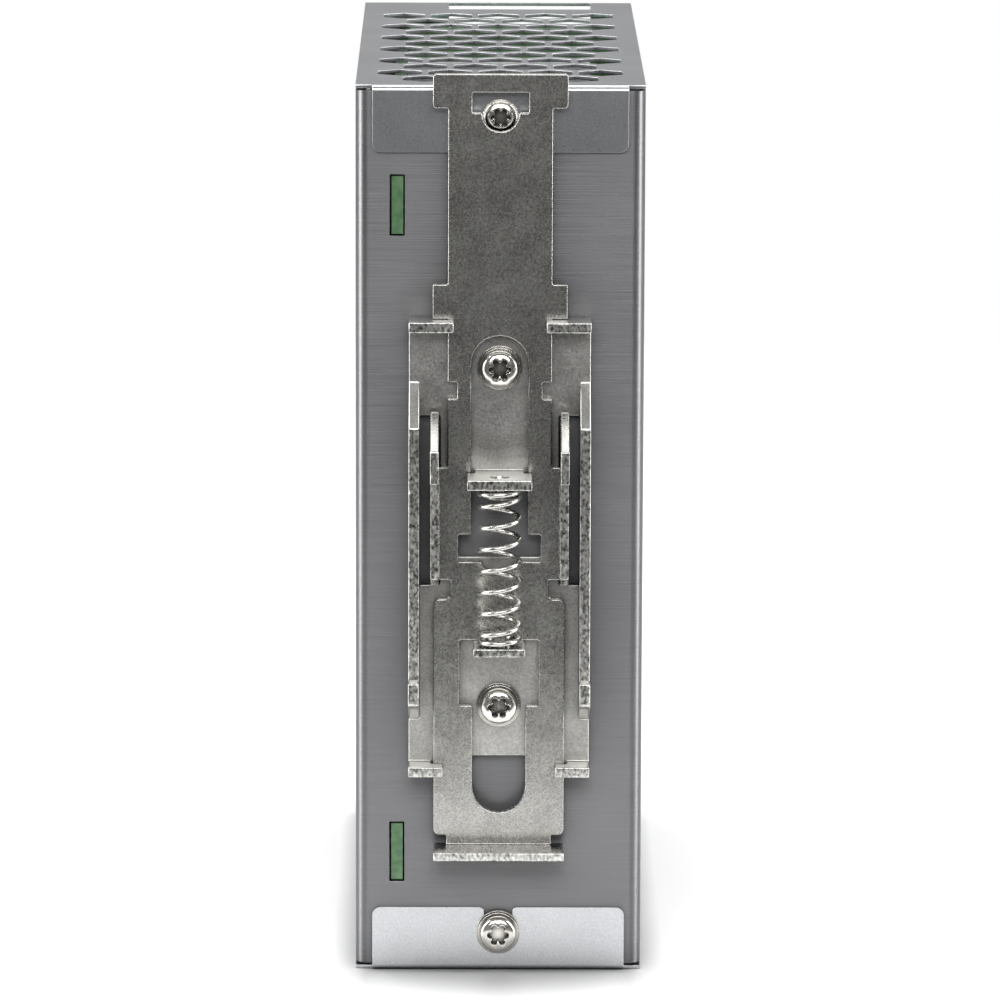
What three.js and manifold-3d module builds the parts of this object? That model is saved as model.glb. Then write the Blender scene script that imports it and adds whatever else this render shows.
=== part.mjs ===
// DIN rail power supply: sheet-metal case, sprung rail clip, terminals and inner boards.
// Millimetres, +Z up. The front faces -Y, and the rail clip stands on the rear, +Y.
// The origin is at the middle of the whole unit's footprint, on the surface it stands on.
import * as THREE from "three";
import Module from "manifold-3d";
import { mergeVertices } from "three/addons/utils/BufferGeometryUtils.js";

const wasm = await Module();
wasm.setup();

// ---------------------------------------------------------------- driving dimensions
const CASE_WIDTH = 40;
const CASE_HEIGHT = 125;
const CASE_DEPTH = 100;
const CLIP_DEPTH = 10.4;
const FIT_GAP = 0.1;
const PART_GAP = 0.3;

// sheet metal of the case
const FRAME_SHEET = 0.5;
const FRAME_BEND = 0.8;
const SHELL_SHEET = 0.8;
const SHELL_BEND = 2;
const FLANGE_WIDTH = 35.3;
const TOP_FLANGE = 9.3;
const BOTTOM_FLANGE = 9;
const FLANGE_CORNER = 1.2;
const TOP_SCREW_INSET = 4.4;
const BOTTOM_SCREW_INSET = 5.5;

// vents
const VENT_FLATS = 6.1;
const VENT_PITCH = 7;
const VENT_ROW_PITCH = 6.83;
const VENT_REAR_MARGIN = 7;
const VENT_FRONT_MARGIN = 14;
const VENT_SIDE_MARGIN = 2;

// rail clip
const RAIL_HEIGHT = 35;
const RAIL_CENTRE_DROP = 3;
const RAIL_STANDOFF = 6;
const RAIL_LIP = 1.4;
const HOOK_OVERLAP = 1;
const BASE_SHEET = 1.5;
const EAR_STEP = 0.5;
const EAR_CLEARANCE = 1.5;
const SLIDER_SHEET = 1.2;
const SLIDER_GAP = 0.2;
const SLIDER_BODY = 14.4;
const SLIDER_WIDE = 18.2;
const SLIDER_TRAVEL = 10;
const HEAD_RISE = 1.9;
const TAB_REACH = 5.6;
const SCREW_SPACING = 47.6;
const CLIP_SCREW_RAISE = 2.6;
const UPPER_TAB_RISE = 33.3;
const LOWER_TAB_DROP = 29.3;
const HOOK_REST = 11.4;
const EAR_LOW = -3.3;
const EAR_HIGH = 12.6;
const SLIDER_HEAD = 4.8;
const SHOULDER_HEIGHT = 4.9;
const SLIDER_CORNER = 0.9;
const SLIDER_HEAD_CORNER = 0.5;
const SPRING_RISE = 10.4;
const SPRING_WINDOW = 5.7;
const TAB_NECK = 3.45;
const TAB_HEAD = 4.5;
const UPPER_SLOT = 3.95;
const LOWER_SLOT = 3.7;
const WEB_NOTCH = 4.7;

// spring
const SPRING_OD = 6.2;
const SPRING_WIRE = 0.75;
const SPRING_LENGTH = 22.2;
const SPRING_TURNS = 8.5;

// fasteners
const THREAD = 3;
const HEAD_DIAMETER = 5;
const HEAD_HEIGHT = 1.9;
const WASHER_DIAMETER = 6.2;
const WASHER_THICKNESS = 0.5;

// terminals
const POLE_PITCH = 5.08;
const OUTPUT_POLES = 4;
const INPUT_POLES = 3;
const TERMINAL_RIGHT = 7.4;
const TERMINAL_HEIGHT = 17;
const TERMINAL_SETBACK = 1.4;
const TERMINAL_DROP = 3.2;
const WIRE_SLOT_DEPTH = 8.5;
const CLAMP_STROKE = 3.5;
const CLAMP_SCREW_LEAD = 0.5;

// boards
const BOARD = 1.6;
const BOARD_INSET = 5.8;
const BOARD_TAB = 8;
const BOARD_TAB_LOW = 16.9;
const BOARD_TAB_DROP = 16.7;
const BOARD_MARGIN = 4;
const FRONT_BOARD_SETBACK = 22.5;

// ---------------------------------------------------------------- places worked out from them
const OVERALL_DEPTH = CASE_DEPTH + CLIP_DEPTH;
const FRONT = -OVERALL_DEPTH / 2;
const REAR = FRONT + CASE_DEPTH;
const HALF = CASE_WIDTH / 2;
const RAIL_Z = CASE_HEIGHT / 2 - RAIL_CENTRE_DROP;
const RAIL_SEAT = REAR + RAIL_STANDOFF;
const WEB_FACE = REAR + BASE_SHEET;
const SLIDER_BACK = WEB_FACE + SLIDER_GAP;
const SLIDER_FACE = SLIDER_BACK + SLIDER_SHEET;
const CLIP_END = REAR + CLIP_DEPTH;
const SLIDER_EAR = SLIDER_WIDE / 2 + EAR_STEP;
const BASE_EDGE = SLIDER_EAR + EAR_CLEARANCE + BASE_SHEET;
const BOARD_X = HALF - BOARD_INSET;
const BOARD_FACE = BOARD_X - BOARD / 2;
const INNER_REAR = REAR - SHELL_SHEET;
const INNER_LEFT = -HALF + SHELL_SHEET;
const FRONT_BOARD_FACE = FRONT + FRONT_BOARD_SETBACK;

// ---------------------------------------------------------------- finishes
const finish = (color, roughness, metalness) => ({ color, roughness, metalness });
const BRUSHED = finish(0x9a9c9e, 0.38, 0.9);
const SATIN = finish(0xbfc1c3, 0.45, 0.85);
const NICKEL = finish(0xa6a49c, 0.42, 0.9);
const SPRING_STEEL = finish(0xcac6ba, 0.25, 0.95);
const SCREW = finish(0xd2cdc0, 0.2, 0.95);
const GREEN_BOARD = finish(0x2c6a3f, 0.45, 0.05);
const TERMINAL_PLASTIC = finish(0x3f7f45, 0.5, 0);
const BRASS = finish(0xc3a763, 0.3, 0.9);
const BLACK = finish(0x1b1c1e, 0.5, 0.05);
const COPPER = finish(0xa8643a, 0.35, 0.7);
const ALUMINIUM = finish(0xc8cacb, 0.35, 0.9);
const YELLOW = finish(0xd6b83e, 0.5, 0);
const BLUE = finish(0x2f62b5, 0.5, 0);
const CREAM = finish(0xded6bf, 0.6, 0);
const FERRITE = finish(0x3a3a3d, 0.6, 0.2);
const CLEAR = finish(0xe6efe8, 0.15, 0);
const SLEEVE = finish(0x24303f, 0.4, 0.1);

// ---------------------------------------------------------------- geometry helpers
function toSolid(geometry) {
  const bare = geometry.clone();
  bare.deleteAttribute("normal");
  bare.deleteAttribute("uv");
  const merged = mergeVertices(bare, 1e-4);
  const position = merged.attributes.position.array;
  const index = merged.index.array;
  const triangles = [];
  let volume = 0;
  for (let i = 0; i < index.length; i += 3) {
    const [a, b, c] = [index[i], index[i + 1], index[i + 2]];
    if (a === b || b === c || a === c) continue;
    triangles.push(a, b, c);
    const [pa, pb, pc] = [a, b, c].map((k) => new THREE.Vector3().fromArray(position, 3 * k));
    volume += pa.dot(pb.cross(pc));
  }
  if (volume < 0) triangles.reverse();
  const mesh = new wasm.Mesh({
    numProp: 3,
    vertProperties: Float32Array.from(position),
    triVerts: Uint32Array.from(triangles),
  });
  return new wasm.Manifold(mesh);
}

function toGeometry(solid) {
  const mesh = solid.getMesh();
  const geometry = new THREE.BufferGeometry();
  geometry.setAttribute("position", new THREE.BufferAttribute(mesh.vertProperties, 3));
  geometry.setIndex(new THREE.BufferAttribute(mesh.triVerts, 1));
  geometry.computeVertexNormals();
  return geometry;
}

const join = (first, ...others) => others.reduce((sum, next) => sum.add(next), first);
const cut = (first, ...others) => others.reduce((rest, next) => rest.subtract(next), first);

// A flat outline of [a, b] points, or a ready THREE.Shape.
function asShape(outline) {
  return Array.isArray(outline) ? new THREE.Shape(outline.map(([a, b]) => new THREE.Vector2(a, b))) : outline;
}

function extruded(outline, length, toRow, curveSegments = 8) {
  const options = { depth: length, bevelEnabled: false, curveSegments };
  const geometry = new THREE.ExtrudeGeometry(asShape(outline), options);
  geometry.applyMatrix4(toRow);
  return toSolid(geometry);
}

// Prisms along one axis. The outline is given in the other two, as (y, z), (x, z) and (x, y).
function prismX(outline, x0, x1, curveSegments) {
  const toRow = new THREE.Matrix4().makeBasis(
    new THREE.Vector3(0, 1, 0), new THREE.Vector3(0, 0, 1), new THREE.Vector3(1, 0, 0));
  toRow.setPosition(x0, 0, 0);
  return extruded(outline, x1 - x0, toRow, curveSegments);
}

function prismY(outline, y0, y1, curveSegments) {
  const toRow = new THREE.Matrix4().makeBasis(
    new THREE.Vector3(1, 0, 0), new THREE.Vector3(0, 0, 1), new THREE.Vector3(0, -1, 0));
  toRow.setPosition(0, y1, 0);
  return extruded(outline, y1 - y0, toRow, curveSegments);
}

function prismZ(outline, z0, z1, curveSegments) {
  return extruded(outline, z1 - z0, new THREE.Matrix4().makeTranslation(0, 0, z0), curveSegments);
}

function block(x0, x1, y0, y1, z0, z1) {
  const geometry = new THREE.BoxGeometry(x1 - x0, y1 - y0, z1 - z0);
  geometry.translate((x0 + x1) / 2, (y0 + y1) / 2, (z0 + z1) / 2);
  return toSolid(geometry);
}

// A rectangle [a0, a1] by [b0, b1] with round corners of radius r.
function roundedRectangle(a0, a1, b0, b1, r) {
  const shape = new THREE.Shape();
  shape.moveTo(a0 + r, b0);
  shape.lineTo(a1 - r, b0);
  shape.absarc(a1 - r, b0 + r, r, -Math.PI / 2, 0, false);
  shape.absarc(a1 - r, b1 - r, r, 0, Math.PI / 2, false);
  shape.absarc(a0 + r, b1 - r, r, Math.PI / 2, Math.PI, false);
  shape.absarc(a0 + r, b0 + r, r, Math.PI, 1.5 * Math.PI, false);
  return shape;
}

function rectangle(a0, a1, b0, b1) {
  return [[a0, b0], [a1, b0], [a1, b1], [a0, b1]];
}

function hexagon(a, b, flats) {
  const corner = flats / Math.sqrt(3);
  const points = [];
  for (let k = 0; k < 6; k += 1) {
    const angle = Math.PI / 2 + (k * Math.PI) / 3;
    points.push([a + corner * Math.cos(angle), b + corner * Math.sin(angle)]);
  }
  return points;
}

// A profile of [radius, height] points turned about an axis through `place`.
const TURN = {
  x: new THREE.Matrix4().makeRotationZ(-Math.PI / 2),
  y: new THREE.Matrix4(),
  z: new THREE.Matrix4().makeRotationX(Math.PI / 2),
};

function turned(profile, axis, place, segments = 24) {
  const geometry = new THREE.LatheGeometry(profile.map(([r, h]) => new THREE.Vector2(r, h)), segments);
  geometry.applyMatrix4(TURN[axis]);
  geometry.translate(...place);
  return toSolid(geometry);
}

function rod(radius, from, to, axis, place, segments = 24) {
  return turned([[0, from], [radius, from], [radius, to], [0, to]], axis, place, segments);
}

// The outline of a bent sheet: `outer` holds its outer corners, each turning left.
function bentSheet(outer, sheet, bend) {
  const steps = 4;
  const away = outer.slice(1).map(([a, b], k) => {
    const length = Math.hypot(a - outer[k][0], b - outer[k][1]);
    return [(a - outer[k][0]) / length, (b - outer[k][1]) / length];
  });
  const offset = ([a, b], [u, v], d) => [a - v * d, b + u * d];
  const face = (depth) => {
    const points = [offset(outer[0], away[0], depth)];
    for (let k = 1; k < outer.length - 1; k += 1) {
      const [u, v] = away[k - 1];
      const centre = offset([outer[k][0] - u * bend, outer[k][1] - v * bend], away[k - 1], bend);
      const start = Math.atan2(-u, v);
      for (let s = 0; s <= steps; s += 1) {
        const angle = start + (s / steps) * (Math.PI / 2);
        const radius = bend - depth;
        points.push([centre[0] + radius * Math.cos(angle), centre[1] + radius * Math.sin(angle)]);
      }
    }
    points.push(offset(outer[outer.length - 1], away[away.length - 1], depth));
    return points;
  };
  return [...face(0), ...face(sheet).reverse()];
}

const unit = new THREE.Group();

function add(name, solid, look) {
  const material = new THREE.MeshStandardMaterial(look);
  const mesh = new THREE.Mesh(toGeometry(solid), material);
  mesh.name = name;
  unit.add(mesh);
}

// ---------------------------------------------------------------- case
const SCREW_CLEARANCE = THREAD / 2 + 0.2;
const TOP_SCREW_Z = CASE_HEIGHT - TOP_SCREW_INSET;
const CLIP_SCREWS_Z = [-1, 1].map((side) => RAIL_Z + CLIP_SCREW_RAISE + (side * SCREW_SPACING) / 2);
const BOARD_TABS_Z = [BOARD_TAB_LOW, CASE_HEIGHT - BOARD_TAB_DROP];
const BOARD_SCREWS = [
  { name: "lower", y: REAR - 14, z: 27 },
  { name: "upper", y: FRONT + 34, z: CASE_HEIGHT - 43 },
];
const OUTPUT_WIDTH = OUTPUT_POLES * POLE_PITCH + 1;
const INPUT_WIDTH = INPUT_POLES * POLE_PITCH + 1;
const LED_Z = CASE_HEIGHT / 2 + 29;
const TRIMMER_Z = CASE_HEIGHT / 2 + 21;
const INDICATOR_X = TERMINAL_RIGHT - OUTPUT_WIDTH / 2;

function screwHole(z, y0 = REAR - 3, y1 = REAR + 3, radius = SCREW_CLEARANCE) {
  return rod(radius, y0, y1, "y", [0, 0, z], 16);
}

// Rear panel and both sides, one sheet bent along the two rear edges.
function rearShell() {
  const start = FRONT + FRAME_SHEET + FIT_GAP;
  const outline = bentSheet([[HALF, start], [HALF, REAR], [-HALF, REAR], [-HALF, start]], SHELL_SHEET, SHELL_BEND);
  const clear = FRAME_BEND;
  const shell = prismZ(outline, clear, CASE_HEIGHT - clear);
  const tabSlots = BOARD_TABS_Z.map((z) => {
    const [wide, tall] = [BOARD + 0.45, BOARD_TAB + 0.5];
    return block(BOARD_X - wide / 2, BOARD_X + wide / 2, REAR - 3, REAR + 1, z - tall / 2, z + tall / 2);
  });
  const boardHoles = BOARD_SCREWS.map(({ y, z }) => rod(SCREW_CLEARANCE, HALF - 2, HALF + 1, "x", [0, y, z], 16));
  const rearHoles = [TOP_SCREW_Z, BOTTOM_SCREW_INSET, ...CLIP_SCREWS_Z].map((z) => screwHole(z));
  return cut(shell, ...tabSlots, ...boardHoles, ...rearHoles);
}

// Staggered six-sided vents through the top and bottom panels.
function vents() {
  const holes = [];
  const rows = Math.floor((CASE_DEPTH - VENT_REAR_MARGIN - VENT_FRONT_MARGIN) / VENT_ROW_PITCH) + 1;
  const reach = HALF - VENT_SIDE_MARGIN - VENT_FLATS / 2;
  for (let row = 0; row < rows; row += 1) {
    const y = REAR - VENT_REAR_MARGIN - row * VENT_ROW_PITCH;
    const shift = row % 2 === 0 ? VENT_PITCH / 2 : 0;
    for (let x = shift - Math.ceil(HALF / VENT_PITCH) * VENT_PITCH; x <= reach; x += VENT_PITCH) {
      if (x < -reach) continue;
      const hole = hexagon(x, y, VENT_FLATS);
      holes.push(prismZ(hole, -1, FRAME_SHEET + 0.3));
      holes.push(prismZ(hole, CASE_HEIGHT - FRAME_SHEET - 0.3, CASE_HEIGHT + 1));
    }
  }
  return holes;
}

// Everything outside a rear flange's rounded outline, between heights z0 and z1.
function flangeTrim(z0, z1, flangeLow, flangeHigh) {
  const y0 = REAR - PART_GAP;
  const y1 = REAR + FRAME_SHEET + 1;
  const half = FLANGE_WIDTH / 2;
  const kept = prismY(roundedRectangle(-half, half, flangeLow, flangeHigh, FLANGE_CORNER), y0 - 1, y1 + 1);
  return cut(block(-HALF - 1, HALF + 1, y0, y1, z0, z1), kept);
}

// Front, top and bottom panels, one sheet, with flanges bent over the rear panel.
function frontFrame() {
  const back = REAR + FRAME_SHEET;
  const outline = bentSheet([
    [back, CASE_HEIGHT - TOP_FLANGE], [back, CASE_HEIGHT], [FRONT, CASE_HEIGHT],
    [FRONT, 0], [back, 0], [back, BOTTOM_FLANGE],
  ], FRAME_SHEET, FRAME_BEND);
  const sheet = prismX(outline, -HALF, HALF);
  const [topLow, topHigh] = [CASE_HEIGHT - TOP_FLANGE, CASE_HEIGHT + 1];
  const topTrim = flangeTrim(topLow - 1, topHigh, topLow, topHigh + 2);
  const bottomTrim = flangeTrim(-1, BOTTOM_FLANGE + 1, -3, BOTTOM_FLANGE);
  const slotStart = FRONT + FRAME_BEND;
  const slot = (width, z) => block(
    TERMINAL_RIGHT - width, TERMINAL_RIGHT, slotStart, slotStart + WIRE_SLOT_DEPTH, z - 1, z + 1);
  const windowHeight = TERMINAL_DROP + TERMINAL_HEIGHT + PART_GAP - FRAME_SHEET;
  const frontWindow = (width, z0) => block(
    TERMINAL_RIGHT - width, TERMINAL_RIGHT, FRONT - 1, FRONT + 1.2, z0, z0 + windowHeight);
  const bottomSlot = new THREE.Shape();
  const [mouth, neck] = [2.5, SCREW_CLEARANCE + 0.3];
  bottomSlot.moveTo(-mouth, BOTTOM_FLANGE + 1);
  bottomSlot.lineTo(-mouth, BOTTOM_FLANGE - 0.2);
  bottomSlot.lineTo(-neck, BOTTOM_FLANGE - 0.9);
  bottomSlot.lineTo(-neck, BOTTOM_SCREW_INSET);
  bottomSlot.absarc(0, BOTTOM_SCREW_INSET, neck, Math.PI, 2 * Math.PI, false);
  bottomSlot.lineTo(neck, BOTTOM_FLANGE - 0.9);
  bottomSlot.lineTo(mouth, BOTTOM_FLANGE - 0.2);
  bottomSlot.lineTo(mouth, BOTTOM_FLANGE + 1);
  return cut(
    sheet, topTrim, bottomTrim, ...vents(),
    slot(OUTPUT_WIDTH, CASE_HEIGHT), slot(INPUT_WIDTH, 0),
    frontWindow(OUTPUT_WIDTH, CASE_HEIGHT - FRAME_SHEET - windowHeight), frontWindow(INPUT_WIDTH, FRAME_SHEET),
    rod(1.7, FRONT - 1, FRONT + 2, "y", [INDICATOR_X, 0, LED_Z], 20),
    rod(2.4, FRONT - 1, FRONT + 2, "y", [INDICATOR_X, 0, TRIMMER_Z], 20),
    prismY(bottomSlot, REAR - PART_GAP, back + 1),
    screwHole(TOP_SCREW_Z, REAR - PART_GAP, back + 1),
  );
}

add("rear_shell", rearShell(), BRUSHED);
add("front_frame", frontFrame(), SATIN);

// ---------------------------------------------------------------- rail clip
const LOWER_GROOVE = RAIL_Z - RAIL_HEIGHT / 2;
const LIP_BACK = RAIL_SEAT + RAIL_LIP;
const TAB_TOP = RAIL_Z + UPPER_TAB_RISE;
const BOTTOM_TAB_TOP = RAIL_Z - LOWER_TAB_DROP;
const SLIDER_LIP_TOP = BOTTOM_TAB_TOP - BASE_SHEET - SLIDER_TRAVEL - FIT_GAP;
const SPRING_TOP = RAIL_Z + SPRING_RISE;
const SPRING_BOTTOM = SPRING_TOP - SPRING_LENGTH;
const SPRING_Y = SLIDER_FACE + SPRING_OD / 2 + PART_GAP;
const SEAT_END = SPRING_Y + SPRING_OD / 2 - 0.2;

// One ear of the fixed bracket: seat edge for the rail and the lower hook, as (y, z).
function baseEar() {
  return [
    [REAR, LOWER_GROOVE - 5.7], [WEB_FACE, LOWER_GROOVE - 5.7], [CLIP_END - 0.6, LOWER_GROOVE - 2.6],
    [CLIP_END, LOWER_GROOVE - 2], [CLIP_END, LOWER_GROOVE + HOOK_OVERLAP],
    [LIP_BACK, LOWER_GROOVE + HOOK_OVERLAP], [LIP_BACK, LOWER_GROOVE], [RAIL_SEAT, LOWER_GROOVE],
    [RAIL_SEAT, RAIL_Z + RAIL_HEIGHT / 2 + 1], [WEB_FACE, RAIL_Z + RAIL_HEIGHT / 2 + 6.8],
    [REAR, RAIL_Z + RAIL_HEIGHT / 2 + 6.8],
  ];
}

// A tab of the bracket that holds the slider down: a stem beside it and a hook over it.
function holdDown(side, stem, hook, z0) {
  const edge = BASE_EDGE;
  const outline = [
    [side * edge, REAR], [side * edge, REAR + TAB_REACH], [side * hook, REAR + TAB_REACH],
    [side * hook, SLIDER_FACE + FIT_GAP], [side * stem, SLIDER_FACE + FIT_GAP], [side * stem, REAR],
  ];
  return prismZ(outline, z0 - BASE_SHEET, z0);
}

function clipBase() {
  const edge = BASE_EDGE;
  const webEnd = BOTTOM_TAB_TOP - BASE_SHEET / 2;
  const web = prismY(rectangle(-edge, edge, webEnd, TAB_TOP - BASE_SHEET / 2), REAR, WEB_FACE);
  const windows = [
    prismY(rectangle(-SPRING_WINDOW, SPRING_WINDOW, RAIL_Z - 0.2, SPRING_TOP), REAR - 1, WEB_FACE + 1),
    prismY(rectangle(-WEB_NOTCH, WEB_NOTCH, webEnd - 1, webEnd + BASE_SHEET), REAR - 1, WEB_FACE + 1),
  ];
  for (const side of [-1, 1]) {
    const [inner, outer] = [SLIDER_EAR - SLIDER_SHEET - FIT_GAP, edge - BASE_SHEET];
    const [x0, x1] = side > 0 ? [inner, outer] : [-outer, -inner];
    windows.push(block(x0, x1, REAR - 1, WEB_FACE + 1, RAIL_Z - 4.2, RAIL_Z + 19.6));
  }
  const parts = [cut(web, ...windows)];
  for (const side of [-1, 1]) {
    const [x0, x1] = side > 0 ? [edge - BASE_SHEET, edge] : [-edge, BASE_SHEET - edge];
    parts.push(prismX(baseEar(), x0, x1));
    parts.push(holdDown(side, SLIDER_BODY / 2 + 0.4, SLIDER_BODY / 2 - 0.8, TAB_TOP));
    parts.push(holdDown(side, SLIDER_WIDE / 2 + 0.3, SLIDER_WIDE / 2 - 1.3, BOTTOM_TAB_TOP));
  }
  const rootTo = SLIDER_FACE + 0.5;
  parts.push(block(-TAB_NECK, TAB_NECK, REAR, rootTo + 0.2, SPRING_TOP, SPRING_TOP + BASE_SHEET));
  parts.push(block(-TAB_HEAD, TAB_HEAD, rootTo, SEAT_END, SPRING_TOP, SPRING_TOP + BASE_SHEET));
  const holes = CLIP_SCREWS_Z.map((z) => screwHole(z, REAR - 1, WEB_FACE + 1));
  return cut(join(...parts), ...holes);
}

// One ear of the slider: seat edge and the upper hook, as (y, z).
function sliderEar() {
  const hook = RAIL_Z + HOOK_REST;
  const seat = RAIL_SEAT - 0.2;
  return [
    [SLIDER_BACK, RAIL_Z - 4.1], [SLIDER_FACE, RAIL_Z - 4.1], [seat, RAIL_Z - 2.7],
    [seat, hook + HOOK_OVERLAP], [LIP_BACK, hook + HOOK_OVERLAP], [LIP_BACK, hook],
    [CLIP_END - 0.2, hook], [CLIP_END - 0.2, hook + 4.6], [SLIDER_FACE + 1.6, hook + 9.1],
    [SLIDER_FACE + PART_GAP, hook + 9.1], [SLIDER_FACE + PART_GAP, RAIL_Z + EAR_HIGH],
    [SLIDER_BACK, RAIL_Z + EAR_HIGH],
  ];
}

// A vertical slot: half width and round ends, as (x, z).
function slotOutline(half, z0, z1) {
  const shape = new THREE.Shape();
  shape.moveTo(-half, z0 + half);
  shape.absarc(0, z0 + half, half, Math.PI, 2 * Math.PI, false);
  shape.absarc(0, z1 - half, half, 0, Math.PI, false);
  return shape;
}

function clipSlider() {
  const [back, face] = [SLIDER_BACK, SLIDER_FACE];
  const [body, wide] = [SLIDER_BODY / 2, SLIDER_WIDE / 2];
  const headTop = CASE_HEIGHT + HEAD_RISE;
  const neckTop = headTop - SLIDER_HEAD;
  const earEdge = SLIDER_EAR;
  const plate = (half, z0, z1) => block(-half, half, back, face, z0, z1);
  const rounded = (half, z0, z1, corner) => prismY(roundedRectangle(-half, half, z0, z1, corner), back, face, 3);
  const through = (outline) => prismY(outline, back - 1, face + 1, 6);
  const wideEnd = RAIL_Z - 39.6;
  const wings = SLIDER_LIP_TOP - SLIDER_SHEET;
  const sheet = join(
    rounded(wide + 0.2, neckTop, headTop, SLIDER_HEAD_CORNER),
    plate(body, RAIL_Z - 10, neckTop + 1),
    plate(wide + 0.2, TAB_TOP, TAB_TOP + SHOULDER_HEIGHT),
    plate(earEdge, RAIL_Z + EAR_LOW, RAIL_Z + EAR_HIGH),
    rounded(wide, wideEnd, RAIL_Z - 6, SLIDER_CORNER),
    plate(body + 0.1, wings, wideEnd + 1),
    block(-wide, wide, back, SLIDER_FACE + 5.4, wings, SLIDER_LIP_TOP),
  );
  const notches = [];
  for (const side of [-1, 1]) {
    const at = (a, b) => (side > 0 ? [a, b] : [-b, -a]);
    notches.push(block(...at(body - 1.3, wide), back - 1, face + 1, TAB_TOP - 11.1, TAB_TOP - 8.8));
    notches.push(block(...at(body - 0.4, wide - 0.6), back - 1, face + 1, RAIL_Z - 5.7, RAIL_Z - 3.3));
  }
  const [lowScrew, highScrew] = CLIP_SCREWS_Z;
  const slots = [
    through(rectangle(-UPPER_SLOT, UPPER_SLOT, RAIL_Z + 1.8, highScrew)),
    through(slotOutline(UPPER_SLOT, RAIL_Z + 1.8, highScrew + 4.6)),
    through(rectangle(-SPRING_WINDOW, SPRING_WINDOW, RAIL_Z - 0.7, RAIL_Z + 3.1)),
    through(slotOutline(2.55, RAIL_Z - 2.6, RAIL_Z + 3.2)),
    through(slotOutline(LOWER_SLOT, lowScrew - 15.1, lowScrew + 4.6)),
    through(rectangle(-5.5, 5.5, lowScrew + 0.1, SPRING_BOTTOM)),
    through(rectangle(-3.9, 3.9, headTop - 5.4, headTop - 2.6)),
    through(slotOutline(2.6, headTop - 8, headTop - 2.8)),
  ];
  const ears = [-1, 1].map((side) => {
    const [x0, x1] = side > 0 ? [earEdge - SLIDER_SHEET, earEdge] : [-earEdge, SLIDER_SHEET - earEdge];
    return prismX(sliderEar(), x0, x1);
  });
  const springSeat = block(-3.6, 3.6, back, SEAT_END, SPRING_BOTTOM - SLIDER_SHEET, SPRING_BOTTOM);
  return join(cut(sheet, ...notches, ...slots), ...ears, springSeat);
}

// Compression spring: a helix of round wire whose end turns close up.
class SpringLine extends THREE.Curve {
  getPoint(t, target = new THREE.Vector3()) {
    const radius = (SPRING_OD - SPRING_WIRE) / 2;
    const angle = 2 * Math.PI * SPRING_TURNS * t;
    const closed = 1 / SPRING_TURNS;
    const wire = SPRING_WIRE / SPRING_LENGTH;
    const open = 1 - 2 * closed;
    const end = wire * 1.1;
    let rise = end + ((t - closed) / open) * (1 - wire - 2 * end);
    if (t < closed) rise = (end * t) / closed;
    if (t > 1 - closed) rise = 1 - wire - (end * (1 - t)) / closed;
    const z = SPRING_BOTTOM + FIT_GAP / 2 + SPRING_WIRE / 2 + rise * (SPRING_LENGTH - FIT_GAP);
    return target.set(radius * Math.cos(angle), SPRING_Y + radius * Math.sin(angle), z);
  }
}

function clipSpring() {
  const section = new THREE.Shape();
  section.absarc(0, 0, SPRING_WIRE / 2, 0, 2 * Math.PI, false);
  const steps = Math.round(SPRING_TURNS * 12);
  const options = { steps, extrudePath: new SpringLine(), curveSegments: 3 };
  return toSolid(new THREE.ExtrudeGeometry(section, options));
}

// Pan-head screw with a captive washer and a six-lobed recess, axis along Y, head to the rear.
function panScrew(z, seat, length) {
  const headRadius = HEAD_DIAMETER / 2;
  const top = WASHER_THICKNESS + HEAD_HEIGHT;
  const body = turned([
    [0, -length], [THREAD / 2, -length], [THREAD / 2, 0], [WASHER_DIAMETER / 2, 0],
    [WASHER_DIAMETER / 2, WASHER_THICKNESS], [headRadius, WASHER_THICKNESS],
    [headRadius, top - 0.9], [headRadius * 0.8, top - 0.25], [headRadius * 0.45, top], [0, top],
  ], "y", [0, seat, z]);
  return cut(body, rod(1.25, top - 1.2, top + 1, "y", [0, seat, z], 6));
}

// Raised countersunk screw that stays below the slider passing over it.
function flatScrew(z, seat, length) {
  const body = turned([
    [0, -length], [THREAD / 2, -length], [THREAD / 2, 0], [HEAD_DIAMETER / 2, 0],
    [HEAD_DIAMETER / 2, 0.3], [HEAD_DIAMETER * 0.4, 0.75], [HEAD_DIAMETER * 0.2, 0.9], [0, 0.9],
  ], "y", [0, seat, z]);
  return cut(body, rod(1.1, 0.2, 2, "y", [0, seat, z], 6));
}

// Self-clinching nut on the inner side of the rear panel.
function clinchNut(z) {
  const [length, radius] = [3.2, 3.1];
  const body = turned([
    [THREAD / 2 + FIT_GAP, 0], [radius, 0], [radius, length], [THREAD / 2 + FIT_GAP, length],
    [THREAD / 2 + FIT_GAP, 0],
  ], "y", [0, INNER_REAR - length, z], 16);
  return body;
}

add("clip_base", clipBase(), NICKEL);
add("clip_slider", clipSlider(), NICKEL);
add("clip_spring", clipSpring(), SPRING_STEEL);
CLIP_SCREWS_Z.forEach((z, k) => {
  const place = ["lower", "upper"][k];
  add(`clip_screw_${place}`, panScrew(z, WEB_FACE, 6), SCREW);
  add(`clip_nut_${place}`, clinchNut(z), SCREW);
});
add("frame_screw_top", flatScrew(TOP_SCREW_Z, REAR + FRAME_SHEET, 4), SCREW);
add("frame_screw_bottom", panScrew(BOTTOM_SCREW_INSET, REAR + FRAME_SHEET, 4), SCREW);

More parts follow.
